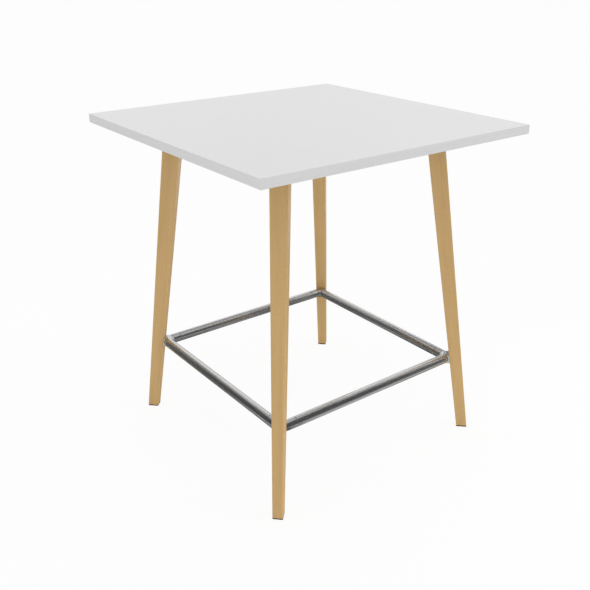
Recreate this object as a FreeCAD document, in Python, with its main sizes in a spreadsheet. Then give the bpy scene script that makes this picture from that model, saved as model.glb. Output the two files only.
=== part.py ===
import FreeCAD, Part
import os
import re
from FreeCAD import Placement, Rotation, Vector

# Square pub table: an edged panel top on four splayed, tapered legs that stand
# on the diagonals, tied together by a square ring of tube used as a footrest.
# Millimetres, +Z up, origin on the floor under the middle of the top.

doc = FreeCAD.newDocument("PubTable")

# ---------------------------------------------------------------- dimensions

DRIVING = [
    # top
    ("table_height", 1100, "floor to the upper surface of the top"),
    ("top_size", 1000, "side of the square top"),
    ("top_thickness", 28, "whole panel with both skins"),
    ("laminate_thickness", 0.8, "each skin, upper and lower"),
    ("band_thickness", 2, "edge band"),
    ("band_radius", 1, "rounding of the band's long outer edges"),
    # legs, measured on level cuts
    ("leg_inset_top", 286, "corner of the top to leg centre, at the leg's upper end"),
    ("leg_inset_foot", 127, "corner of the top to leg centre, at the leg's lower end"),
    ("leg_width_top", 54, "across the diagonal"),
    ("leg_width_foot", 33, "across the diagonal"),
    ("leg_depth_top", 57, "along the diagonal"),
    ("leg_depth_foot", 37, "along the diagonal"),
    ("leg_edge_radius", 2, "rounding of the four long edges"),
    # foot glides
    ("glide_thickness", 4, "pad between leg and floor"),
    ("glide_inset", 0.2, "pad edge inside the leg's outline"),
    ("glide_edge", 0.3, "chamfer round the pad's lower edge"),
    # mounting plates
    ("plate_size", 120, "side of the square plate"),
    ("plate_thickness", 4, "flat steel"),
    ("plate_corner_radius", 8, "rounding of the plate's corners"),
    ("plate_screw_inset", 14, "screw centre to the plate's edges"),
    ("leg_bolt_spacing", 26, "between the two bolts of a leg"),
    # fasteners
    ("screw_clearance", 0.25, "radial room round a shank or a thread"),
    ("wood_screw_diameter", 5, "plate screw"),
    ("wood_screw_length", 22, "plate screw, head included"),
    ("wood_screw_head", 10, "plate screw head diameter"),
    ("wood_screw_cross", 5, "plate screw's cross recess, end to end"),
    ("leg_bolt_diameter", 8, "plate to leg"),
    ("leg_bolt_length", 30, "plate to leg, head included"),
    ("leg_bolt_head", 15, "countersunk head diameter"),
    ("leg_bolt_key", 5, "hexagon socket, across the flats"),
    ("leg_bolt_key_depth", 3.2, "hexagon socket"),
    ("insert_diameter", 12, "threaded insert, outside"),
    ("insert_length", 24, "threaded insert"),
    ("glide_screw_diameter", 3.5, "glide to leg"),
    ("glide_screw_length", 22, "glide to leg, head included"),
    ("glide_screw_head", 7, "glide screw head diameter"),
    ("glide_screw_cross", 3.5, "glide screw's cross recess, end to end"),
    ("glide_screw_recess", 0.8, "head below the pad's face"),
    ("point_radius", 0.4, "blunt end of every screw's point"),
    ("cross_width", 1, "each slot of a cross recess"),
    ("cross_floor", 0.6, "head left under a cross recess"),
    ("pilot_overrun", 1, "pilot hole beyond the plate screw's point"),
    # footrest ring
    ("footrail_height", 275, "floor to the tube's axis"),
    ("tube_diameter", 34, "tube and connector sleeves"),
    ("tube_wall", 1.5, "tube"),
    ("ring_standoff", 6.5, "leg's inner face to the crossing of the tube axes"),
    ("sleeve_length", 55, "crossing of the axes to the seam with the tube"),
    ("seam_chamfer", 1, "on tube and sleeve at each seam"),
    ("spigot_length", 36, "part of the connector inside the tube"),
    ("spigot_clearance", 0.3, "radial room between spigot and tube"),
    ("core_radius", 9, "cored hole through spigot and sleeve"),
    ("core_end", 25, "crossing of the axes to the end of the cored hole"),
    ("bend_radius", 26.5, "of the sleeves' axis round the corner"),
    ("pad_width", 34, "connector's pad on the leg"),
    ("pad_height", 32, "connector's pad on the leg"),
    ("pad_root", 14, "crossing of the axes to the pad's end inside the elbow"),
    ("pad_edge_radius", 1.5, "rounding of the pad's level edges"),
    ("stud_diameter", 8, "hanger bolt that holds the connector"),
    ("stud_in_leg", 28, "threaded into the leg, tip included"),
    ("stud_in_connector", 24, "held in the connector"),
    ("grub_diameter", 6, "set screw under the elbow"),
    ("grub_length", 8, "set screw under the elbow"),
    ("grub_standoff", 14, "leg's inner face to the set screw's axis"),
    ("grub_key", 3, "hexagon socket, across the flats"),
    ("grub_key_depth", 4, "hexagon socket"),
]

DERIVED = [
    # table centre to leg centre, along the diagonal
    ("leg_reach_top", "=top_size / sqrt(2) - leg_inset_top"),
    ("leg_reach_foot", "=top_size / sqrt(2) - leg_inset_foot"),
    ("underside", "=table_height - top_thickness"),
    ("core_size", "=top_size - 2 * band_thickness"),
    ("core_thickness", "=top_thickness - 2 * laminate_thickness"),
    ("leg_top", "=underside - plate_thickness"),
    ("leg_height", "=leg_top - glide_thickness"),
    ("screw_place", "=plate_size / 2 - plate_screw_inset"),
    # the inner face of a leg leans outwards towards the floor
    ("face_top", "=leg_reach_top - leg_depth_top / 2"),
    ("face_foot", "=leg_reach_foot - leg_depth_foot / 2"),
    ("face_slope", "=(face_foot - face_top) / leg_height"),
    ("face_tilt", "=atan(face_slope)"),
    ("face_reach", "=face_foot - face_slope * (footrail_height - glide_thickness)"),
    # the tube axes cross on the diagonals, just inside that face
    ("crossing_reach", "=face_reach - ring_standoff"),
    ("tube_offset", "=crossing_reach / sqrt(2)"),
    ("tube_radius", "=tube_diameter / 2"),
    ("tube_length", "=2 * (tube_offset - sleeve_length)"),
    ("spigot_radius", "=tube_radius - tube_wall - spigot_clearance"),
    ("trim_size", "=2 * (sleeve_length + spigot_length)"),
    ("stud_radius", "=stud_diameter / 2"),
    ("grub_radius", "=grub_diameter / 2"),
    ("grub_reach", "=face_reach - grub_standoff"),
    ("stud_height_at_grub", "=footrail_height - grub_standoff * tan(face_tilt)"),
    ("stud_under", "=stud_height_at_grub - stud_radius / cos(face_tilt)"),
    ("grub_top", "=stud_under - grub_radius * tan(face_tilt) - screw_clearance"),
]

sheet = doc.addObject("Spreadsheet::Sheet", "Sizes")
for row, (name, value, note) in enumerate(DRIVING, start=1):
    sheet.set("A%d" % row, name)
    sheet.set("B%d" % row, str(value))
    sheet.set("C%d" % row, note)
    sheet.setAlias("B%d" % row, name)
for row, (name, formula) in enumerate(DERIVED, start=len(DRIVING) + 2):
    sheet.set("A%d" % row, name)
    sheet.setAlias("B%d" % row, name)
    sheet.set("B%d" % row, formula)
doc.recompute()

SHEET_NAMES = {entry[0] for entry in DRIVING + DERIVED}
NEAR = 0.01  # an edge this close to a plane lies on it


# ------------------------------------------------------------------- helpers

def tie(thing, **formulas):
    """Bind properties to formulas written with the sheet's names."""
    for prop, formula in formulas.items():
        words = re.sub(r"[a-z]\w*",
                       lambda m: "Sizes." + m[0] if m[0] in SHEET_NAMES else m[0],
                       formula)
        thing.setExpression(prop, words)
    return thing


def put(thing, x="0", y="0", z="0", axis=None, angle=None):
    """Bind a thing's place, and turn it about an axis by a formula."""
    if axis is not None:
        thing.Placement = Placement(Vector(), Rotation(axis, 90))
        tie(thing, **{"Placement.Rotation.Angle": angle})
    return tie(thing, **{".Placement.Base.x": x, ".Placement.Base.y": y,
                         ".Placement.Base.z": z})


def box(name, length, width, height, **place):
    solid = doc.addObject("Part::Box", name)
    tie(solid, Length=length, Width=width, Height=height)
    return put(solid, **place)


def cylinder(name, radius, height, **place):
    solid = doc.addObject("Part::Cylinder", name)
    tie(solid, Radius=radius, Height=height)
    return put(solid, **place)


def cone(name, radius_low, radius_high, height, **place):
    solid = doc.addObject("Part::Cone", name)
    tie(solid, Radius1=radius_low, Radius2=radius_high, Height=height)
    return put(solid, **place)


def cut(name, base, *tools):
    solid = doc.addObject("Part::Cut", name)
    solid.Base = base
    solid.Tool = tools[0] if len(tools) == 1 else group(name + "_tools", *tools)
    return solid


def fuse(name, *parts):
    solid = doc.addObject("Part::MultiFuse", name)
    solid.Shapes = list(parts)
    solid.Refine = True
    return solid


def group(name, *parts):
    several = doc.addObject("Part::Compound", name)
    several.Links = list(parts)
    return several


def body_feature(body, kind, name, **formulas):
    feature = body.newObject("PartDesign::" + kind, name)
    return tie(feature, **formulas)


def edges_where(shape, test):
    return ["Edge%d" % number for number, edge in enumerate(shape.Edges, start=1)
            if test(edge)]


def is_upright(edge):
    """An edge with its two ends at different heights."""
    return len(edge.Vertexes) == 2 and abs(edge.tangentAt(edge.FirstParameter).z) > 0.9


def round_edges(body, name, kind, base, test, **formulas):
    """Fillet or chamfer those edges of a body's last feature that pass a test."""
    doc.recompute()
    feature = body.newObject("PartDesign::" + kind, name)
    feature.Base = (base, edges_where(base.Shape, test))
    tie(feature, **formulas)
    return feature


# A corner piece is made on the +X axis, and a side piece facing +X; both are
# then turned about the table's vertical centre line.
CORNERS = {name: 45 + 90 * number for number, name in
           enumerate(["back_right", "back_left", "front_left", "front_right"])}
SIDES = {name: 90 * number for number, name in
         enumerate(["right", "back", "left", "front"])}
UP = Vector(0, 0, 1)
ALONG_X = Vector(1, 0, 0)
ALONG_Y = Vector(0, 1, 0)
PARTS = []


def finish(piece, label, turn=0):
    """Name a finished piece, turn it to its corner or side, and keep it."""
    piece.Label = label
    piece.Placement = Placement(Vector(), Rotation(UP, turn))
    PARTS.append(piece)


# ----------------------------------------------------------------------- top

SCREW_SIDES = [("screw_place", "screw_place"), ("-screw_place", "screw_place"),
               ("-screw_place", "-screw_place"), ("screw_place", "-screw_place")]


def screw_holes(name, z, height):
    """Clearance holes for the wood screws of all four mounting plates."""
    corners = []
    for corner, turn in CORNERS.items():
        holes = []
        for number, (side_x, side_y) in enumerate(SCREW_SIDES, start=1):
            holes.append(cylinder("%s_%s_%d" % (name, corner, number),
                                  "wood_screw_diameter / 2 + screw_clearance", height,
                                  x="leg_reach_top + " + side_x, y=side_y, z=z))
        ring = group("%s_%s" % (name, corner), *holes)
        ring.Placement = Placement(Vector(), Rotation(UP, turn))
        corners.append(ring)
    return corners


def square_panel(name, thickness, z):
    return box(name, "core_size", "core_size", thickness,
               x="-core_size / 2", y="-core_size / 2", z=z)


core_blank = square_panel("core_blank", "core_thickness",
                          "underside + laminate_thickness")
pilots = screw_holes("pilot", "underside",
                     "wood_screw_length - plate_thickness + pilot_overrun")
finish(cut("tabletop_core", core_blank, *pilots), "tabletop_core")

backer_blank = square_panel("backer_blank", "laminate_thickness", "underside")
backer_holes = screw_holes("backer_hole", "underside", "laminate_thickness")
finish(cut("tabletop_backer", backer_blank, *backer_holes), "tabletop_backer")

laminate = square_panel("tabletop_laminate", "laminate_thickness",
                        "table_height - laminate_thickness")
PARTS.append(laminate)


def edge_band(side, turn, length):
    """A strip of plastic edging with its outer edges rounded."""
    body = doc.addObject("PartDesign::Body", "edge_band_" + side)
    strip = body_feature(body, "AdditiveBox", "strip_" + side, Length="band_thickness",
                         Width=length, Height="top_thickness")
    put(strip, x="top_size / 2 - band_thickness", y="-(%s) / 2" % length, z="underside")
    outer = sheet.top_size / 2

    def outer_long_edge(edge):
        centre = edge.BoundBox.Center
        return abs(centre.x - outer) < NEAR and edge.BoundBox.ZLength < NEAR
    round_edges(body, "rounding_" + side, "Fillet", strip, outer_long_edge,
                Radius="band_radius")
    finish(body, "edge_band_" + side, turn)


for side, turn in SIDES.items():
    edge_band(side, turn, "top_size" if side in ("front", "back") else "core_size")


# ---------------------------------------------------------------------- legs

def leg(corner, turn):
    body = doc.addObject("PartDesign::Body", "leg_" + corner)
    stick = body_feature(
        body, "AdditiveWedge", "stick_" + corner,
        Ymin="0", Ymax="leg_height",
        Xmin="leg_reach_foot - leg_depth_foot / 2",
        Xmax="leg_reach_foot + leg_depth_foot / 2",
        Zmin="-leg_width_foot / 2", Zmax="leg_width_foot / 2",
        X2min="leg_reach_top - leg_depth_top / 2",
        X2max="leg_reach_top + leg_depth_top / 2",
        Z2min="-leg_width_top / 2", Z2max="leg_width_top / 2")
    put(stick, z="glide_thickness", axis=ALONG_X, angle="90")
    round_edges(body, "long_edges_" + corner, "Fillet", stick, is_upright,
                Radius="leg_edge_radius")

    def bore(name, radius, depth, **place):
        hole = body_feature(body, "SubtractiveCylinder", "%s_%s" % (name, corner),
                            Radius=radius, Height=depth)
        put(hole, **place)

    for number, side in enumerate(("-", ""), start=1):
        across = side + "leg_bolt_spacing / 2"
        bore("insert_hole_%d" % number, "insert_diameter / 2 + screw_clearance",
             "insert_length", x="leg_reach_top", y=across,
             z="leg_top - insert_length")
        bore("bolt_hole_%d" % number, "leg_bolt_diameter / 2 + screw_clearance",
             "leg_bolt_length", x="leg_reach_top", y=across,
             z="leg_top - leg_bolt_length")
    bore("stud_hole", "stud_radius + screw_clearance", "stud_in_leg",
         x="face_reach", z="footrail_height", axis=ALONG_Y, angle="90 deg - face_tilt")
    bore("glide_screw_hole", "glide_screw_diameter / 2 + screw_clearance",
         "glide_screw_length", x="leg_reach_foot", z="glide_thickness")
    finish(body, "leg_" + corner, turn)


def foot_glide(corner, turn):
    """A hard pad with the outline of the leg's end, held by one screw."""
    body = doc.addObject("PartDesign::Body", "foot_glide_" + corner)
    pad = body_feature(body, "AdditiveBox", "pad_" + corner,
                       Length="leg_depth_foot - 2 * glide_inset",
                       Width="leg_width_foot - 2 * glide_inset",
                       Height="glide_thickness")
    put(pad, x="leg_reach_foot - leg_depth_foot / 2 + glide_inset",
        y="-leg_width_foot / 2 + glide_inset")
    rounded = round_edges(body, "pad_corners_" + corner, "Fillet", pad, is_upright,
                          Radius="leg_edge_radius")
    chamfered = round_edges(body, "pad_chamfer_" + corner, "Chamfer", rounded,
                            lambda edge: edge.BoundBox.ZMax < NEAR, Size="glide_edge")
    recess = body_feature(body, "SubtractiveCylinder", "head_recess_" + corner,
                          Radius="glide_screw_head / 2 + screw_clearance",
                          Height="glide_screw_recess")
    put(recess, x="leg_reach_foot")
    seat = body_feature(body, "SubtractiveCone", "head_seat_" + corner,
                        Radius1="glide_screw_head / 2 + screw_clearance",
                        Radius2="glide_screw_diameter / 2 + screw_clearance",
                        Height="(glide_screw_head - glide_screw_diameter) / 2")
    put(seat, x="leg_reach_foot", z="glide_screw_recess")
    shank = body_feature(body, "SubtractiveCylinder", "shank_hole_" + corner,
                         Radius="glide_screw_diameter / 2 + screw_clearance",
                         Height="glide_thickness")
    put(shank, x="leg_reach_foot")
    finish(body, "foot_glide_" + corner, turn)


# ----------------------------------------------------------------- fasteners

def countersunk_screw(name, size, x, y, z, tip):
    """A flat-headed screw that points up from its head's face at height z.

    Its names in the sheet start with size; tip is the length of its point.
    """
    head, shank, length = size + "_head", size + "_diameter", size + "_length"
    taper = "(%s - %s) / 2" % (head, shank)
    place = dict(x=x, y=y)
    parts = [
        cone(name + "_head", head + " / 2", shank + " / 2", taper, z=z, **place),
        cylinder(name + "_shank", shank + " / 2", "%s - %s - %s" % (length, taper, tip),
                 z="%s + %s" % (z, taper), **place),
        cone(name + "_tip", shank + " / 2", "point_radius", tip,
             z="%s + %s - %s" % (z, length, tip), **place)]
    blank = fuse(name + "_blank", *parts)
    long, wide, deep = size + "_cross", "cross_width", taper + " - cross_floor"
    slots = [box(name + "_slot_a", long, wide, deep, x="%s - %s / 2" % (x, long),
                 y="%s - %s / 2" % (y, wide), z=z),
             box(name + "_slot_b", wide, long, deep, x="%s - %s / 2" % (x, wide),
                 y="%s - %s / 2" % (y, long), z=z)]
    return cut(name, blank, *slots)


def plate_screws(corner, turn):
    screws = []
    for number, (side_x, side_y) in enumerate(SCREW_SIDES, start=1):
        screws.append(countersunk_screw("plate_screw_%s_%d" % (corner, number),
                                        "wood_screw", "leg_reach_top + " + side_x,
                                        side_y, "leg_top", "wood_screw_diameter"))
    finish(group("plate_screws_" + corner, *screws), "plate_screws_" + corner, turn)


def leg_bolts(corner, turn):
    """Two countersunk bolts, pointing down from the plate into the leg."""
    bolts = []
    taper = "(leg_bolt_head - leg_bolt_diameter) / 2"
    for number, side in enumerate(("-", ""), start=1):
        name = "leg_bolt_%s_%d" % (corner, number)
        place = dict(x="leg_reach_top", y=side + "leg_bolt_spacing / 2")
        head = cone(name + "_head", "leg_bolt_diameter / 2", "leg_bolt_head / 2",
                    taper, z="underside - " + taper, **place)
        shank = cylinder(name + "_shank", "leg_bolt_diameter / 2",
                         "leg_bolt_length - " + taper,
                         z="underside - leg_bolt_length", **place)
        socket = doc.addObject("Part::Prism", name + "_socket")
        socket.Polygon = 6
        tie(socket, Circumradius="leg_bolt_key / sqrt(3)", Height="leg_bolt_key_depth")
        put(socket, z="underside - leg_bolt_key_depth", **place)
        bolts.append(cut(name, fuse(name + "_blank", head, shank), socket))
    finish(group("leg_bolts_" + corner, *bolts), "leg_bolts_" + corner, turn)


def leg_inserts(corner, turn):
    """Two threaded sleeves sunk flush in the leg's upper end."""
    sleeves = []
    for number, side in enumerate(("-", ""), start=1):
        name = "leg_insert_%s_%d" % (corner, number)
        place = dict(x="leg_reach_top", y=side + "leg_bolt_spacing / 2",
                     z="leg_top - insert_length")
        outside = cylinder(name + "_outside", "insert_diameter / 2", "insert_length",
                           **place)
        bore = cylinder(name + "_bore", "leg_bolt_diameter / 2 + screw_clearance",
                        "insert_length", **place)
        sleeves.append(cut(name, outside, bore))
    finish(group("leg_inserts_" + corner, *sleeves), "leg_inserts_" + corner, turn)


def leg_plate(corner, turn):
    """A flat square plate between the leg's end and the panel."""
    body = doc.addObject("PartDesign::Body", "leg_plate_" + corner)
    flat = body_feature(body, "AdditiveBox", "flat_" + corner, Length="plate_size",
                        Width="plate_size", Height="plate_thickness")
    put(flat, x="leg_reach_top - plate_size / 2", y="-plate_size / 2", z="leg_top")
    round_edges(body, "plate_corners_" + corner, "Fillet", flat, is_upright,
                Radius="plate_corner_radius")

    def countersink(name, size, x, y, from_above):
        head, shank = size + "_head / 2", size + "_diameter / 2"
        wide = head + " + screw_clearance"
        narrow = shank + " + screw_clearance"
        hole = body_feature(body, "SubtractiveCylinder", name + "_hole", Radius=narrow,
                            Height="plate_thickness")
        put(hole, x=x, y=y, z="leg_top")
        taper = "(%s - %s)" % (head, shank)
        seat = body_feature(body, "SubtractiveCone", name + "_seat",
                            Radius1=narrow if from_above else wide,
                            Radius2=wide if from_above else narrow,
                            Height=taper)
        put(seat, x=x, y=y, z="underside - " + taper if from_above else "leg_top")

    for number, (side_x, side_y) in enumerate(SCREW_SIDES, start=1):
        countersink("screw_%s_%d" % (corner, number), "wood_screw",
                    "leg_reach_top + " + side_x, side_y, False)
    for number, side in enumerate(("-", ""), start=1):
        countersink("bolt_%s_%d" % (corner, number), "leg_bolt", "leg_reach_top",
                    side + "leg_bolt_spacing / 2", True)
    finish(body, "leg_plate_" + corner, turn)


def glide_screw(corner, turn):
    screw = countersunk_screw("glide_screw_" + corner, "glide_screw", "leg_reach_foot",
                              "0", "glide_screw_recess", "glide_screw_diameter")
    finish(screw, "glide_screw_" + corner, turn)


# ------------------------------------------------------------- footrest ring

def footrail_tube(side, turn):
    body = doc.addObject("PartDesign::Body", "footrail_tube_" + side)
    place = dict(x="tube_offset", y="tube_length / 2", z="footrail_height",
                 axis=ALONG_X, angle="90")
    outside = body_feature(body, "AdditiveCylinder", "tube_outside_" + side,
                           Radius="tube_radius", Height="tube_length")
    put(outside, **place)
    eased = round_edges(body, "tube_ends_" + side, "Chamfer", outside,
                        lambda edge: edge.BoundBox.YLength < NEAR, Size="seam_chamfer")
    bore = body_feature(body, "SubtractiveCylinder", "tube_bore_" + side,
                        Radius="tube_radius - tube_wall", Height="tube_length")
    put(bore, **place)
    finish(body, "footrail_tube_" + side, turn)


def connector_arm(corner, name, radius, start, length):
    """A bar that leaves the crossing along one tube's axis."""
    # The tube's direction is turned 135 degrees from the outward diagonal.
    bar = doc.addObject("Part::Cylinder", "%s_%s" % (name, corner))
    tie(bar, Radius=radius, Height=length)
    direction = Vector(-1, 1, 0)
    bar.Placement = Placement(Vector(), Rotation(UP, direction))
    return put(bar, x="crossing_reach - (%s) / sqrt(2)" % start,
               y="(%s) / sqrt(2)" % start, z="footrail_height")


def connector_pad(corner):
    """A block from inside the elbow to beyond the leg's face."""
    body = doc.addObject("PartDesign::Body", "pad_on_leg_" + corner)
    block = body_feature(body, "AdditiveBox", "pad_block_" + corner,
                         Length="pad_root + ring_standoff + pad_height / 2",
                         Width="pad_width", Height="pad_height")
    put(block, x="crossing_reach - pad_root", y="-pad_width / 2",
        z="footrail_height - pad_height / 2")

    def level_and_outward(edge):
        return edge.BoundBox.YLength < NEAR and edge.BoundBox.ZLength < NEAR
    round_edges(body, "pad_rounding_" + corner, "Fillet", block, level_and_outward,
                Radius="pad_edge_radius")
    return body


def rail_connector(corner, turn):
    """A cast elbow: a bend, two sleeves with spigots, and a pad on the leg."""
    # The sleeve and spigot on the +Y side of the diagonal.
    sleeve = connector_arm(corner, "sleeve", "tube_radius", "bend_radius",
                           "sleeve_length - bend_radius - seam_chamfer")
    rim = doc.addObject("Part::Cone", "sleeve_rim_" + corner)
    tie(rim, Radius1="tube_radius", Radius2="tube_radius - seam_chamfer",
        Height="seam_chamfer")
    rim.Placement = sleeve.Placement
    put(rim, x="crossing_reach - (sleeve_length - seam_chamfer) / sqrt(2)",
        y="(sleeve_length - seam_chamfer) / sqrt(2)", z="footrail_height")
    spigot = connector_arm(corner, "spigot", "spigot_radius", "sleeve_length",
                           "spigot_length")
    arm = fuse("arm_" + corner, sleeve, rim, spigot)
    mirrored = doc.addObject("Part::Mirroring", "arm_mirrored_" + corner)
    mirrored.Source = arm
    mirrored.Normal = ALONG_Y
    bend = doc.addObject("Part::Torus", "bend_" + corner)
    bend.Angle3 = 90
    tie(bend, Radius1="bend_radius", Radius2="tube_radius")
    bend.Placement = Placement(Vector(), Rotation(UP, -45))
    put(bend, x="crossing_reach - sqrt(2) * bend_radius", z="footrail_height")
    blank = fuse("elbow_" + corner, bend, arm, mirrored, connector_pad(corner))

    # All of it ends on the leg's leaning inner face.
    leg_side = box("leg_side_" + corner, "trim_size", "trim_size", "trim_size",
                   x="face_reach + trim_size / 2 * sin(face_tilt)", y="-trim_size / 2",
                   z="footrail_height - trim_size / 2 * cos(face_tilt)",
                   axis=-ALONG_Y, angle="face_tilt")
    solid = cut("elbow_on_leg_" + corner, blank, leg_side)

    stud_hole = cylinder("connector_stud_hole_" + corner, "stud_radius + screw_clearance",
                         "stud_in_connector", axis=ALONG_Y, angle="90 deg - face_tilt",
                         x="face_reach - stud_in_connector * cos(face_tilt)",
                         z="footrail_height - stud_in_connector * sin(face_tilt)")
    grub_hole = cylinder("grub_hole_" + corner, "grub_radius + screw_clearance",
                         "tube_diameter", x="grub_reach",
                         z="stud_height_at_grub - tube_diameter")
    core = connector_arm(corner, "core", "core_radius", "core_end",
                         "sleeve_length + spigot_length - core_end")
    core_mirrored = doc.addObject("Part::Mirroring", "core_mirrored_" + corner)
    core_mirrored.Source = core
    core_mirrored.Normal = ALONG_Y
    connector = cut("rail_connector_" + corner, solid, stud_hole, grub_hole, core,
                    core_mirrored)
    finish(connector, "rail_connector_" + corner, turn)


def connector_stud(corner, turn):
    """A hanger bolt: its pointed end in the leg, its plain end in the connector."""
    lean = dict(axis=ALONG_Y, angle="90 deg - face_tilt")
    point = "stud_radius"
    shank = cylinder("stud_shank_" + corner, "stud_radius",
                     "stud_in_connector + stud_in_leg - 2 * screw_clearance - " + point,
                     x="face_reach - (stud_in_connector - screw_clearance) * cos(face_tilt)",
                     z="footrail_height - (stud_in_connector - screw_clearance)"
                       " * sin(face_tilt)", **lean)
    reach = "(stud_in_leg - screw_clearance - %s)" % point
    tip = cone("stud_tip_" + corner, "stud_radius", "point_radius", point,
               x="face_reach + %s * cos(face_tilt)" % reach,
               z="footrail_height + %s * sin(face_tilt)" % reach, **lean)
    finish(fuse("connector_stud_" + corner, shank, tip), "connector_stud_" + corner, turn)


def connector_grub_screw(corner, turn):
    """A set screw that bears on the stud from below."""
    place = dict(x="grub_reach", z="grub_top - grub_length")
    blank = cylinder("grub_blank_" + corner, "grub_radius", "grub_length", **place)
    socket = doc.addObject("Part::Prism", "grub_socket_" + corner)
    socket.Polygon = 6
    tie(socket, Circumradius="grub_key / sqrt(3)", Height="grub_key_depth")
    put(socket, **place)
    screw = cut("connector_grub_screw_" + corner, blank, socket)
    finish(screw, "connector_grub_screw_" + corner, turn)


for corner, turn in CORNERS.items():
    leg(corner, turn)
    leg_plate(corner, turn)
    plate_screws(corner, turn)
    leg_bolts(corner, turn)
    leg_inserts(corner, turn)
    foot_glide(corner, turn)
    glide_screw(corner, turn)
    rail_connector(corner, turn)
    connector_stud(corner, turn)
    connector_grub_screw(corner, turn)
for side, turn in SIDES.items():
    footrail_tube(side, turn)

doc.recompute()

# -------------------------------------------------------------------- export

for thing in doc.Objects:
    if "Invalid" in thing.State or "Error" in thing.State:
        raise RuntimeError("%s failed: %s %s" % (thing.Name, thing.State, thing.getStatusString()))
os.makedirs("parts", exist_ok=True)
for piece in PARTS:
    shape = piece.Shape
    if shape.isNull() or not shape.isValid() or not shape.Solids:
        raise RuntimeError("%s has no valid solid" % piece.Label)
    shape.exportStep("parts/%s.step" % piece.Label)
    print("%-34s solids %d  volume %12.1f" % (piece.Label, len(shape.Solids), shape.Volume))
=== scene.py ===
import math

import bmesh
import bpy
from mathutils import Matrix, Vector


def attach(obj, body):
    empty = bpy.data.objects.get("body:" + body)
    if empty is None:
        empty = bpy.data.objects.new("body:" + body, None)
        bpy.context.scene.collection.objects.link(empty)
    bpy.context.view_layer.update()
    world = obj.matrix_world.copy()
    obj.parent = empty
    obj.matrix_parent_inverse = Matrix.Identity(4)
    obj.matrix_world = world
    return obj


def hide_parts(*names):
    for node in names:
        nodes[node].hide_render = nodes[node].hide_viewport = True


# A square pub table: an edged white panel on four splayed beech legs, tied low
# down by a ring of chromed tube that serves as a footrest. Metres, +Z up.
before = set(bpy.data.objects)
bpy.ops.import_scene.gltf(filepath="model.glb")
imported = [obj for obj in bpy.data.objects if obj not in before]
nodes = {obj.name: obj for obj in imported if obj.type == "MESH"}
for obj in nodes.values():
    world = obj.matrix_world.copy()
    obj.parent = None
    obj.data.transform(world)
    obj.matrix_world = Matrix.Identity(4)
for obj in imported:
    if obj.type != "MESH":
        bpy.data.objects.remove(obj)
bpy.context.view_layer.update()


# ---------------------------------------------------------------- panel core
# Three-layer chipboard, pressed from wood chips and resin. Skins and edging
# cover it, so that only the screw holes under the top open into it.

CHIP = 0.003


def srgb(code):
    """Turn a colour written as RRGGBB into linear light."""
    parts = [int(code[i:i + 2], 16) / 255 for i in (0, 2, 4)]
    linear = [p / 12.92 if p <= 0.04045 else ((p + 0.055) / 1.055) ** 2.4 for p in parts]
    return (*linear, 1)


def feed(tree, node, inputs):
    """Give each named input of a node a plain value or a socket to join."""
    for name, value in inputs.items():
        if isinstance(value, bpy.types.NodeSocket):
            tree.links.new(value, node.inputs[name])
        else:
            node.inputs[name].default_value = value


def add(tree, kind, inputs=None, stops=(), **settings):
    """Add a shader node with its inputs, its settings and, on a ramp, its colour stops."""
    node = tree.nodes.new("ShaderNode" + kind)
    for name, value in settings.items():
        setattr(node, name, value)
    feed(tree, node, inputs or {})
    for number, (position, code) in enumerate(stops):
        ramp = node.color_ramp.elements
        stop = ramp[number] if number < len(ramp) else ramp.new(position)
        stop.position = position
        stop.color = srgb(code)
    return node


def new_material(name):
    """Make a material and give back its tree, its surface shader and its place."""
    material = bpy.data.materials.new(name)
    material.use_nodes = True
    tree = material.node_tree
    tree.nodes.clear()
    shader = add(tree, "BsdfPrincipled")
    add(tree, "OutputMaterial", {"Surface": shader.outputs["BSDF"]})
    place = add(tree, "TexCoord").outputs["Object"]
    return material, tree, shader, place


def dress(node_name, material):
    """Put one material on a CAD node."""
    materials = nodes[node_name].data.materials
    for slot in range(len(materials)):
        materials[slot] = material


# Chipboard: chips of 2 to 4 mm in tan and brown, dry and rough where cut.
chipboard, tree, shader, place = new_material("chipboard")
chips = add(tree, "TexVoronoi", {"Vector": place, "Scale": 1 / CHIP})
tone = add(tree, "ValToRGB", {"Fac": chips.outputs["Color"]},
           stops=((0, "A98B62"), (1, "CDB48B")))
relief = add(tree, "Bump", {"Height": chips.outputs["Distance"], "Strength": 0.5,
                            "Distance": 0.0005})
feed(tree, shader, {"Base Color": tone.outputs["Color"], "Roughness": 0.85,
                    "Normal": relief.outputs["Normal"]})
dress("tabletop_core", chipboard)


# --------------------------------------------------------------------- skins
# White decor laminate, pressed on the chipboard against a finely etched plate.
# The etching leaves a shallow pearl grain, and hands leave the sheen uneven.

# The real grain is under 1 mm; it is drawn at 3 mm so that it can show.
PEARL = 0.003
WIPE = 0.22

# Melamine laminate: white and satin, a little glossier in some patches.
laminate, tree, shader, place = new_material("melamine_laminate")
pearl = add(tree, "TexNoise", {"Vector": place, "Scale": 1 / PEARL, "Detail": 2})
wiped = add(tree, "TexNoise", {"Vector": place, "Scale": 1 / WIPE, "Detail": 3,
                               "Roughness": 0.6})
tone = add(tree, "ValToRGB", {"Fac": wiped.outputs["Fac"]},
           stops=((0.3, "E4E4E4"), (0.7, "E7E7E7")))
sheen = add(tree, "MapRange", {"Value": wiped.outputs["Fac"], "From Min": 0.3,
                               "From Max": 0.7, "To Min": 0.4, "To Max": 0.5})
relief = add(tree, "Bump", {"Height": pearl.outputs["Fac"], "Strength": 0.12,
                            "Distance": 0.0003})
feed(tree, shader, {"Base Color": tone.outputs["Color"],
                    "Roughness": sheen.outputs["Result"],
                    "Normal": relief.outputs["Normal"]})
dress("tabletop_laminate", laminate)
dress("tabletop_backer", laminate)


# --------------------------------------------------------------------- bands
# Four strips of white ABS edging, glued round the panel by a machine that also
# rounds the long edges. The strips are extruded, so they carry faint long lines.

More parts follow.
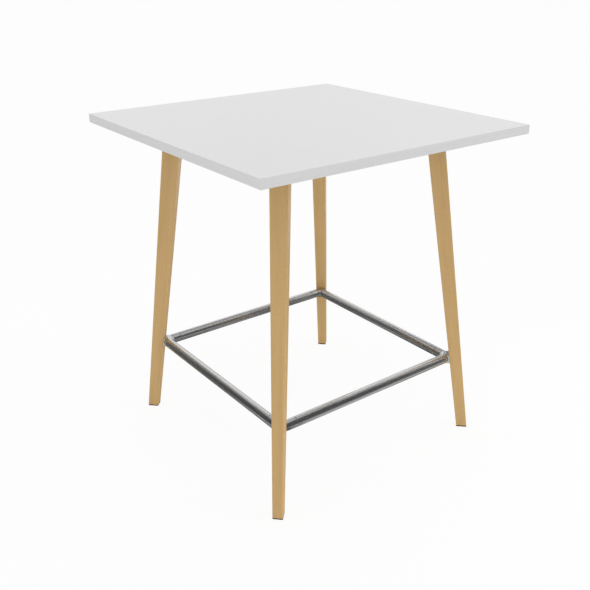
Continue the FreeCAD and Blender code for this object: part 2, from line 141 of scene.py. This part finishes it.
SIDES = ("right", "back", "left", "front")
# The real lines are finer; they are drawn 3 mm wide so that they can show.
LINE_LENGTH = 0.3
LINE_WIDTH = 0.003


def edging(lines_along_y):
    """ABS edging: white and satin, with drawn lines along the strip."""
    material, tree, shader, place = new_material("abs_edging")
    if lines_along_y:
        line = (LINE_WIDTH, LINE_LENGTH, LINE_WIDTH)
    else:
        line = (LINE_LENGTH, LINE_WIDTH, LINE_WIDTH)
    drawn = add(tree, "Mapping", {"Vector": place, "Scale": tuple(1 / size for size in line)})
    lines = add(tree, "TexNoise", {"Vector": drawn.outputs["Vector"], "Scale": 1,
                                   "Detail": 2})
    tone = add(tree, "ValToRGB", {"Fac": lines.outputs["Fac"]},
               stops=((0.3, "E1E1E1"), (0.7, "E4E4E4")))
    sheen = add(tree, "MapRange", {"Value": lines.outputs["Fac"], "To Min": 0.38,
                                   "To Max": 0.52})
    relief = add(tree, "Bump", {"Height": lines.outputs["Fac"], "Strength": 0.1,
                                "Distance": 0.0003})
    feed(tree, shader, {"Base Color": tone.outputs["Color"],
                        "Roughness": sheen.outputs["Result"],
                        "Normal": relief.outputs["Normal"]})
    return material


for side in SIDES:
    dress("edge_band_" + side, edging(lines_along_y=side in ("right", "left")))


# ---------------------------------------------------------------------- legs
# Solid beech, sawn to a taper in width and depth, its long edges rounded over
# and the whole sanded and lacquered. The grain runs along the leg.

CORNERS = ("back_right", "back_left", "front_left", "front_right")
QUARTER_TURN = math.radians(90)
LEG_EDGE = 0.002
LEG_END_EDGE = 0.0005
SHARP_EDGE = math.radians(35)
SAME_HEIGHT = 0.00001


def leg_end(pick):
    """Measure the lower or the upper end of the CAD leg that leans to +X and +Y."""
    points = [vertex.co for vertex in nodes["leg_back_right"].data.vertices]
    height = pick(point.z for point in points)
    end = [point for point in points if abs(point.z - height) < SAME_HEIGHT]
    outward = [(point.x + point.y) / math.sqrt(2) for point in end]
    across = [(point.y - point.x) / math.sqrt(2) for point in end]
    return {"height": height, "reach": (min(outward) + max(outward)) / 2,
            "depth": max(outward) - min(outward), "width": max(across) - min(across)}


LEG_FOOT = leg_end(min)
LEG_HEAD = leg_end(max)
LEG_LEAN = math.atan((LEG_HEAD["reach"] - LEG_FOOT["reach"])
                     / (LEG_HEAD["height"] - LEG_FOOT["height"]))

# Width and length of the growth rings, the fibre and the ray flecks. The fibre
# is drawn wider than the real 0.1 mm so that it can show.
RING = (0.012, 0.5)
FIBRE = (0.0022, 0.11)
FLECK = (0.0016, 0.009)


def lacquered_beech(turn, seed):
    """Beech under satin lacquer: faint streaks along the leg and short flecks."""
    material, tree, shader, place = new_material("lacquered_beech")
    foot = (LEG_FOOT["reach"] * math.cos(turn), LEG_FOOT["reach"] * math.sin(turn),
            LEG_FOOT["height"])
    along = add(tree, "Mapping", {"Vector": place, "Location": foot,
                                  "Rotation": (0, LEG_LEAN, turn)},
                vector_type="TEXTURE")
    # Each leg is cut from another place in the wood.
    shifted = add(tree, "Mapping", {"Vector": along.outputs["Vector"],
                                    "Location": (seed, 2 * seed, 3 * seed)})
    ring_space, fibre_space, fleck_space = [
        add(tree, "Mapping", {"Vector": shifted.outputs["Vector"],
                              "Scale": (1 / width, 1 / width, 1 / length)})
        for width, length in (RING, FIBRE, FLECK)]
    rings = add(tree, "TexNoise", {"Vector": ring_space.outputs["Vector"], "Scale": 1,
                                   "Detail": 3, "Roughness": 0.55})
    fibre = add(tree, "TexNoise", {"Vector": fibre_space.outputs["Vector"], "Scale": 1,
                                   "Detail": 3, "Roughness": 0.6})
    flecks = add(tree, "TexVoronoi", {"Vector": fleck_space.outputs["Vector"], "Scale": 1,
                                      "Randomness": 1})
    # The inputs of a Mix node share names, so they go by number: the share is 0,
    # and two numbers are 2 and 3, or two colours 6 and 7, whose mix comes out at 2.
    streaks = add(tree, "Mix", {0: 0.4, 2: rings.outputs["Fac"], 3: fibre.outputs["Fac"]})
    tone = add(tree, "ValToRGB", {"Fac": streaks.outputs[0]},
               stops=((0.32, "CDA76C"), (0.68, "D9B47A")))
    in_fleck = add(tree, "MapRange", {"Value": flecks.outputs["Distance"], "From Min": 0.12,
                                      "From Max": 0.3, "To Min": 1, "To Max": 0})
    flecked = add(tree, "Mix", {0: in_fleck.outputs["Result"], 6: tone.outputs["Color"],
                                7: srgb("C19B63")}, data_type="RGBA")
    sheen = add(tree, "MapRange", {"Value": fibre.outputs["Fac"], "To Min": 0.38,
                                   "To Max": 0.52})
    relief = add(tree, "Bump", {"Height": fibre.outputs["Fac"], "Strength": 0.15,
                                "Distance": 0.0003})
    feed(tree, shader, {"Base Color": flecked.outputs[2],
                        "Roughness": sheen.outputs["Result"],
                        "Normal": relief.outputs["Normal"]})
    return material


def tapered_leg():
    """A leg on the +X axis: a box drawn in at the foot, all its edges rounded."""
    shape = bmesh.new()
    bmesh.ops.create_cube(shape, size=1)
    for vertex in shape.verts:
        end = LEG_HEAD if vertex.co.z > 0 else LEG_FOOT
        vertex.co = Vector((end["reach"] + vertex.co.x * end["depth"],
                            vertex.co.y * end["width"], end["height"]))
    long_edges = [edge for edge in shape.edges if edge.calc_length() > LEG_HEAD["height"] / 2]
    bmesh.ops.bevel(shape, geom=long_edges, offset=LEG_EDGE, offset_type="OFFSET",
                    affect="EDGES", segments=5, profile=0.5, material=-1)
    level_faces = [face for face in shape.faces if abs(face.normal.z) > 0.9]
    end_edges = {edge for face in level_faces for edge in face.edges}
    bmesh.ops.bevel(shape, geom=list(end_edges), offset=LEG_END_EDGE, offset_type="OFFSET",
                    affect="EDGES", segments=2, profile=0.5, material=-1)
    return shape


def keep_mesh(name, shape, material, stands_for):
    """Make a shape a piece that rides on the table and stands for a CAD node."""
    mesh = bpy.data.meshes.new(name)
    bmesh.ops.recalc_face_normals(shape, faces=shape.faces)
    shape.to_mesh(mesh)
    shape.free()
    mesh.materials.append(material)
    piece = bpy.data.objects.new(name, mesh)
    bpy.context.scene.collection.objects.link(piece)
    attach(piece, "root")
    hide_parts(stands_for)
    return piece


# The legs stand on the diagonals of the top.
for number, corner in enumerate(CORNERS):
    turn = (number + 0.5) * QUARTER_TURN
    shape = tapered_leg()
    bmesh.ops.rotate(shape, verts=shape.verts, cent=(0, 0, 0),
                     matrix=Matrix.Rotation(turn, 3, "Z"))
    leg = keep_mesh("leg_" + corner + "_wood", shape, lacquered_beech(turn, number + 1),
                    "leg_" + corner)
    for face in leg.data.polygons:
        face.use_smooth = True
    leg.data.set_sharp_from_angle(angle=SHARP_EDGE)


# -------------------------------------------------------------------- glides
# Black polypropylene pads, moulded with a fine grain. One is screwed under each
# leg, against its end grain.

# The real grain is finer; it is drawn at 1 mm so that it can show.
GLIDE_GRAIN = 0.001

# Moulded polypropylene: nearly black and dull, with a fine sandy grain.
glide_plastic, tree, shader, place = new_material("moulded_polypropylene")
grain = add(tree, "TexNoise", {"Vector": place, "Scale": 1 / GLIDE_GRAIN, "Detail": 2})
tone = add(tree, "ValToRGB", {"Fac": grain.outputs["Fac"]},
           stops=((0, "0B0B0B"), (1, "151414")))
relief = add(tree, "Bump", {"Height": grain.outputs["Fac"], "Strength": 0.3,
                            "Distance": 0.0002})
feed(tree, shader, {"Base Color": tone.outputs["Color"], "Roughness": 0.55,
                    "Normal": relief.outputs["Normal"]})
for corner in CORNERS:
    dress("foot_glide_" + corner, glide_plastic)


# ------------------------------------------------------------ mounting plates
# Flat steel plates, laser cut, powder coated black, screwed under the panel.
# Powder coat flows out into a faint orange peel.

PEEL = 0.0025

# Powder coat: black with a soft gloss that the orange peel breaks up.
powder_coat, tree, shader, place = new_material("black_powder_coat")
peel = add(tree, "TexNoise", {"Vector": place, "Scale": 1 / PEEL, "Detail": 1})
tone = add(tree, "ValToRGB", {"Fac": peel.outputs["Fac"]},
           stops=((0, "1D1D1E"), (1, "262627")))
relief = add(tree, "Bump", {"Height": peel.outputs["Fac"], "Strength": 0.25,
                            "Distance": 0.0004})
feed(tree, shader, {"Base Color": tone.outputs["Color"], "Roughness": 0.42,
                    "Normal": relief.outputs["Normal"]})
for corner in CORNERS:
    dress("leg_plate_" + corner, powder_coat)


# ------------------------------------------------------------------ fasteners
# Steel screws, bolts and hanger bolts, bright zinc plated: bluish, with the
# spangle of the bath. Inserts are turned brass; set screws are black oxide.

ZINC_SPANGLE = 0.0015
TURNING_MARK = 0.001
OXIDE_SPOT = 0.001


def bare_metal(name, spot, dark, light, smooth, rough):
    """A bare or plated metal whose tone and sheen change from spot to spot."""
    material, tree, shader, place = new_material(name)
    spots = add(tree, "TexNoise", {"Vector": place, "Scale": 1 / spot, "Detail": 2})
    tone = add(tree, "ValToRGB", {"Fac": spots.outputs["Fac"]},
               stops=((0, dark), (1, light)))
    sheen = add(tree, "MapRange", {"Value": spots.outputs["Fac"], "To Min": smooth,
                                   "To Max": rough})
    feed(tree, shader, {"Base Color": tone.outputs["Color"],
                        "Roughness": sheen.outputs["Result"], "Metallic": 1})
    return material


zinc = bare_metal("zinc_plated_steel", ZINC_SPANGLE, "A9ADB2", "C9CBCF", 0.25, 0.42)
brass = bare_metal("turned_brass", TURNING_MARK, "B58F4A", "CFAE6A", 0.2, 0.35)
black_oxide = bare_metal("black_oxide_steel", OXIDE_SPOT, "232324", "343435", 0.3, 0.45)
for corner in CORNERS:
    for stem in ("plate_screws_", "leg_bolts_", "glide_screw_", "connector_stud_"):
        dress(stem + corner, zinc)
    dress("leg_inserts_" + corner, brass)
    dress("connector_grub_screw_" + corner, black_oxide)


# -------------------------------------------------------------------- footrest
# Four lengths of steel tube and four cast corners, polished and chromed alike.
# Polishing leaves hair lines along the tubes and soft waves on the castings.

# The real hair lines are finer; they are drawn 1.5 mm wide so that they can show.
HAIR_LENGTH = 0.08
HAIR_WIDTH = 0.0015
WAVE = 0.006


def chrome(name, mark):
    """Chrome plate over polished steel; mark is the size of its polish marks."""
    material, tree, shader, place = new_material(name)
    marks_space = add(tree, "Mapping", {"Vector": place,
                                        "Scale": tuple(1 / size for size in mark)})
    marks = add(tree, "TexNoise", {"Vector": marks_space.outputs["Vector"], "Scale": 1,
                                   "Detail": 3})
    tone = add(tree, "ValToRGB", {"Fac": marks.outputs["Fac"]},
               stops=((0, "C6C7C8"), (1, "D2D2D3")))
    sheen = add(tree, "MapRange", {"Value": marks.outputs["Fac"], "From Min": 0.3,
                                   "From Max": 0.7, "To Min": 0.17, "To Max": 0.24})
    relief = add(tree, "Bump", {"Height": marks.outputs["Fac"], "Strength": 0.06,
                                "Distance": 0.0002})
    feed(tree, shader, {"Base Color": tone.outputs["Color"], "Metallic": 1,
                        "Roughness": sheen.outputs["Result"],
                        "Normal": relief.outputs["Normal"]})
    return material


chrome_along_x = chrome("chromed_steel_tube", (HAIR_LENGTH, HAIR_WIDTH, HAIR_WIDTH))
chrome_along_y = chrome("chromed_steel_tube", (HAIR_WIDTH, HAIR_LENGTH, HAIR_WIDTH))
chrome_cast = chrome("chromed_casting", (WAVE, WAVE, WAVE))
for side in SIDES:
    dress("footrail_tube_" + side,
          chrome_along_y if side in ("right", "left") else chrome_along_x)
for corner in CORNERS:
    dress("rail_connector_" + corner, chrome_cast)


# ---------------------------------------------------------------------- floor
# A wide pale floor that looks white. Most of its look is light of its own, and
# the rest keeps the table's shadow. It lies a hair below the glides, so that no
# two faces coincide.

FLOOR_RADIUS = 60
FLOOR_DROP = 0.0002
OWN_LIGHT = 0.9
scene = bpy.context.scene


def disc(radius, height, segments):
    """A level disc centred under, or over, the table."""
    shape = bmesh.new()
    bmesh.ops.create_circle(shape, cap_ends=True, segments=segments, radius=radius)
    bmesh.ops.translate(shape, verts=shape.verts, vec=(0, 0, height))
    return shape


def stand(name, shape, material):
    """Put a shape in the studio as part of its staging."""
    mesh = bpy.data.meshes.new(name)
    shape.to_mesh(mesh)
    shape.free()
    mesh.materials.append(material)
    prop = bpy.data.objects.new(name, mesh)
    scene.collection.objects.link(prop)
    return prop


def seen_directly(tree):
    """One where a ray comes from the camera, a glossy surface or glass."""
    rays = add(tree, "LightPath")
    seen = add(tree, "Math", {0: rays.outputs["Is Camera Ray"],
                              1: rays.outputs["Is Glossy Ray"]}, operation="MAXIMUM")
    seen = add(tree, "Math", {0: seen.outputs[0],
                              1: rays.outputs["Is Transmission Ray"]}, operation="MAXIMUM")
    return seen.outputs[0]


floor_material, tree, shader, place = new_material("white_floor")
feed(tree, shader, {"Base Color": srgb("FAFAFA"), "Roughness": 1, "Specular IOR Level": 0})
white = add(tree, "Emission")
share = add(tree, "Math", {0: seen_directly(tree), 1: OWN_LIGHT}, operation="MULTIPLY")
mixed = add(tree, "MixShader", {0: share.outputs[0], 1: shader.outputs["BSDF"],
                                2: white.outputs["Emission"]})
feed(tree, tree.nodes["Material Output"], {"Surface": mixed.outputs[0]})
stand("floor", disc(FLOOR_RADIUS, -FLOOR_DROP, segments=96), floor_material)


# --------------------------------------------------------------- reflection screens
# Grey felt screens stand round the table like those of a product studio. Only
# reflections show them: their greys are painted reflections, which give the
# chrome its light and dark bands and the highlights on its corners.

SCREEN_RADIUS = 2.4
SCREEN_HEIGHT = 4
SCREEN_STEP = 5
PANEL_RADIUS = 1.3
MAT_HEIGHT = 0.0005
MID_GREY = "6E6E6E"


def reflection_screen(name, shape, code=None):
    """A felt screen that only reflections show: its grey is a painted reflection. Without a
    code, its colour comes later.
    """
    material, tree, shader, place = new_material(name)
    feed(tree, shader, {"Roughness": 1, "Specular IOR Level": 0})
    if code:
        feed(tree, shader, {"Base Color": srgb(code)})
    screen = stand(name, shape, material)
    screen.visible_camera = False
    screen.visible_diffuse = False
    screen.visible_transmission = False
    screen.visible_shadow = False
    return tree, shader, place


def curved_screen(shape, start, end, low, high, radius=SCREEN_RADIUS):
    """Add part of an upright cylinder, between two azimuths in degrees."""
    turn = math.radians(start)
    ends = [shape.verts.new((radius * math.cos(turn), radius * math.sin(turn), height))
            for height in (low, high)]
    bmesh.ops.spin(shape, geom=[*ends, shape.edges.new(ends)], cent=(0, 0, 0),
                   axis=(0, 0, 1), angle=math.radians(end - start),
                   steps=math.ceil((end - start) / SCREEN_STEP))


# The wall leaves a wide opening towards the white surround, on the right and
# behind the table, and grows paler towards both edges of the opening. These greys
# are painted reflections in the chrome. Each pair is an azimuth in degrees and the
# grey there.
wall = bmesh.new()
curved_screen(wall, start=98, end=320, low=0, high=SCREEN_HEIGHT)
WALL_GREYS = ((-180, "5C5C5C"), (-60, "606060"), (-48, "6C6C6C"), (-40, "8C8C8C"),
              (98, "D8D8D8"), (106, "BCBCBC"), (118, "949494"), (128, "707070"),
              (138, "5C5C5C"), (180, "5C5C5C"))
tree, shader, place = reflection_screen("reflection_wall", wall)
around = add(tree, "TexGradient", {"Vector": place}, gradient_type="RADIAL")
shade = add(tree, "ValToRGB", {"Fac": around.outputs["Fac"]},
            stops=[(azimuth / 360 + 0.5, code) for azimuth, code in WALL_GREYS])
feed(tree, shader, {"Base Color": shade.outputs["Color"]})

# Lintels narrow the opening from above; their mid grey is a painted darker
# reflection in the chrome. Each row is the azimuths of a lintel's ends and the
# height of its lower edge.
lintels = bmesh.new()
for start, end, low in ((-40, -28, 2), (-28, 42, 3.5), (42, 76, 2.5), (76, 98, 3.2)):
    curved_screen(lintels, start, end, low, SCREEN_HEIGHT)
reflection_screen("reflection_lintels", lintels, MID_GREY)

# A small panel in the opening paints a darker reflection on the crown of the
# right corner's bend. It ends below the top, so that the laminate doesn't mirror it.
panel = bmesh.new()
curved_screen(panel, start=10, end=26, low=0.7, high=1.09, radius=PANEL_RADIUS)
reflection_screen("reflection_panel", panel, MID_GREY)
# A grey ceiling closes the screens above; its grey is a painted reflection in polished
# surfaces.
reflection_screen("reflection_ceiling", disc(SCREEN_RADIUS, SCREEN_HEIGHT, segments=72), "8C8C8C")

# The mat on the floor is pale in a long oval under the front tube, dark round
# it, and somewhat paler again further out. Only reflections show it: these greys
# are painted reflections in the lower half of the chrome.
OVAL_CENTRE = (0.25, -0.5)
OVAL_SCALE = (0.3, 0.65)
tree, shader, place = reflection_screen("reflection_mat", disc(SCREEN_RADIUS, MAT_HEIGHT, segments=72))
oval = add(tree, "Mapping", {"Vector": place, "Scale": (*OVAL_SCALE, 1),
                             "Location": (-OVAL_CENTRE[0] * OVAL_SCALE[0],
                                          -OVAL_CENTRE[1] * OVAL_SCALE[1], 0)})
away = add(tree, "VectorMath", {0: oval.outputs["Vector"]}, operation="LENGTH")
shade = add(tree, "ValToRGB", {"Fac": away.outputs["Value"]},
            stops=((0.05, "DCDCDC"), (0.17, "BEBEBE"), (0.27, "7C7C7C"), (0.35, "8A8A8A"),
                   (0.5, "A0A0A0"), (0.62, "7C7C7C"), (1, "707070")))
mat_colour = shade.outputs["Color"]
# Smaller round spots paint highlights on the pads of the left and the right
# corner, a darker reflection on the front sleeve, and a darker reflection on the
# back tube in its lower half but for its lower edge. Each row is a centre, the
# radii between which the spot fades, and a grey.
for x, y, full, faded, code in ((-0.85, 0.12, 0.08, 0.22, "F0F0F0"),
                                (-0.24, -0.6, 0.1, 0.18, "404040"),
                                (0.03, -0.76, 0.06, 0.13, "FFFFFF"),
                                (0.42, -0.2, 0.12, 0.28, "505050"),
                                (0.06, 0.28, 0.04, 0.14, "C8C8C8")):
    from_centre = add(tree, "VectorMath", {0: place, 1: (x, y, 0)}, operation="DISTANCE")
    in_spot = add(tree, "MapRange", {"Value": from_centre.outputs["Value"],
                                     "From Min": full, "From Max": faded,
                                     "To Min": 1, "To Max": 0})
    spotted = add(tree, "Mix", {0: in_spot.outputs["Result"], 6: mat_colour,
                                7: srgb(code)}, data_type="RGBA")
    mat_colour = spotted.outputs[2]
feed(tree, shader, {"Base Color": mat_colour})


# ---------------------------------------------------------------------- light
# An even white surround and a large soft lamp overhead. A low lamp in front on
# the right lightens the legs' right-hand faces.

WORLD_LIGHT = 0.85
OVERHEAD_PLACE = Vector((0, 0, 3.6))
LOW_LAMP_PLACE = Vector((1.6, -1.9, 0.4))
LOW_LAMP_TARGET = Vector((-0.4, 0, -0.1))

world = bpy.data.worlds.new("studio")
scene.world = world
world.use_nodes = True
tree = world.node_tree
tree.nodes.clear()
strength = add(tree, "MapRange", {"Value": seen_directly(tree), "To Min": WORLD_LIGHT,
                                  "To Max": 1})
surround = add(tree, "Background", {"Color": (1, 1, 1, 1),
                                    "Strength": strength.outputs["Result"]})
add(tree, "OutputWorld", {"Surface": surround.outputs["Background"]})


def soft_lamp(name, place, energy, shape, width):
    """Hang a soft lamp that shines straight down."""
    data = bpy.data.lights.new(name, "AREA")
    data.shape = shape
    data.size = width
    data.energy = energy
    lamp = bpy.data.objects.new(name, data)
    lamp.location = place
    scene.collection.objects.link(lamp)
    return lamp


soft_lamp("overhead_softbox", OVERHEAD_PLACE, energy=12, shape="SQUARE", width=3)
low_lamp = soft_lamp("low_softbox", LOW_LAMP_PLACE, energy=2.2, shape="RECTANGLE", width=1.6)
low_lamp.data.size_y = 0.7
low_lamp.data.spread = math.radians(45)
low_lamp.rotation_euler = (LOW_LAMP_PLACE - LOW_LAMP_TARGET).to_track_quat("Z", "Y").to_euler()
low_lamp.visible_glossy = False
low_lamp.visible_camera = False

scene.view_settings.view_transform = "Standard"


# --------------------------------------------------------------------- camera
# A standing person's view of the front left corner, a little from above. The
# focal length and the column that the lens faces are pixels of a square image.

IMAGE_SIDE = 590
FOCAL_PIXELS = 778.374
CENTRE_COLUMN = 316.53
SENSOR_WIDTH = 36
VIEW_RANGE = 200
CAMERA_PLACE = (-1.493397, -1.989115, 1.598751)
CAMERA_DIP = 24.0868
CAMERA_TURN = 37.947

camera_data = bpy.data.cameras.new("camera")
camera_data.sensor_width = SENSOR_WIDTH
camera_data.lens = SENSOR_WIDTH * FOCAL_PIXELS / IMAGE_SIDE
camera_data.shift_x = -(CENTRE_COLUMN - IMAGE_SIDE / 2) / IMAGE_SIDE
camera_data.clip_end = VIEW_RANGE
camera = bpy.data.objects.new("camera", camera_data)
camera.location = CAMERA_PLACE
camera.rotation_euler = (math.radians(90 - CAMERA_DIP), 0, math.radians(-CAMERA_TURN))
scene.collection.objects.link(camera)
scene.camera = camera
